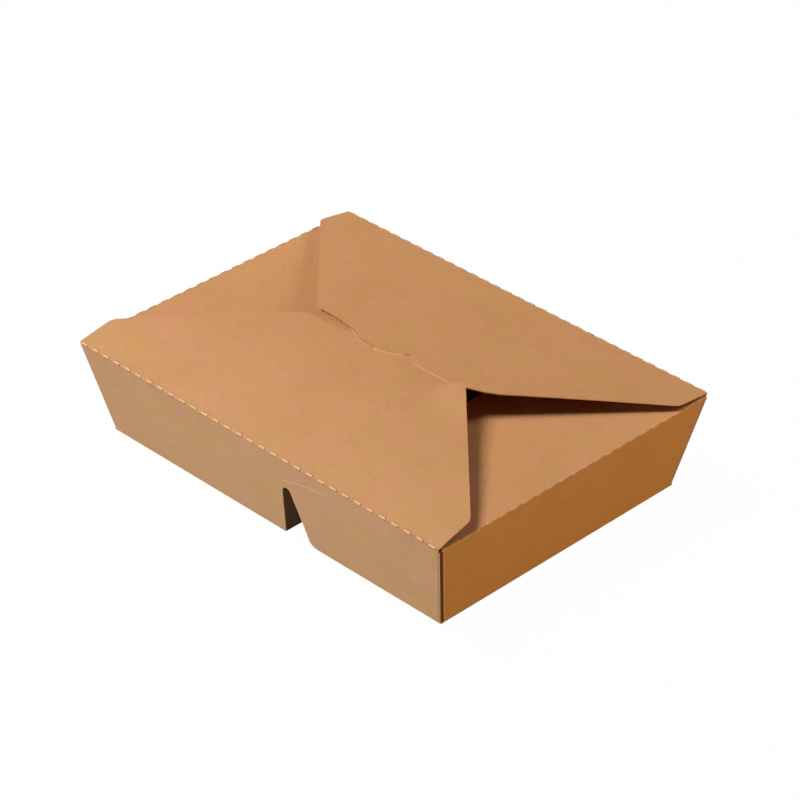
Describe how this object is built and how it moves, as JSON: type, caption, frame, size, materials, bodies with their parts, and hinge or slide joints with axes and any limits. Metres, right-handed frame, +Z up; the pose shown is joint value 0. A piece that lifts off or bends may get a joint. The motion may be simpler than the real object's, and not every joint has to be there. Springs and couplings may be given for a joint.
{
  "type": "takeaway box",
  "caption": "Folding kraft-board takeaway box: a sloped tray with an inverted-V divider and folded web corners, closed by end flaps under interlocking lid flaps.",
  "frame": {"origin": "centre of the floor's underside", "axes": "+X along the long side towards the narrow compartment, +Y from the front wall to the back wall, +Z up"},
  "size_m": [0.2156, 0.159, 0.0575],
  "materials": {
    "kraft_board": "uncoated brown kraft, matt with short fibres",
    "lid_board": "uncoated brown kraft, matt with short fibres"
  },
  "bodies": {
    "tray": {"tray": "kraft_board"},
    "front_flap": {"front_flap": "lid_board"},
    "back_flap": {"back_flap": "lid_board"}
  },
  "joints": [
    {"name": "front_flap_crease", "type": "hinge", "parent": "tray", "child": "front_flap", "pos_m": [0, -0.079, 0.045], "axis": [1, 0, 0], "range_deg": [0, 175]},
    {"name": "back_flap_crease", "type": "hinge", "parent": "tray", "child": "back_flap", "pos_m": [0, 0.079, 0.045], "axis": [-1, 0, 0], "range_deg": [0, 175]}
  ],
  "couplings": [
    {"joint": "back_flap_crease", "follows": "front_flap_crease", "ratio": 1}
  ]
}
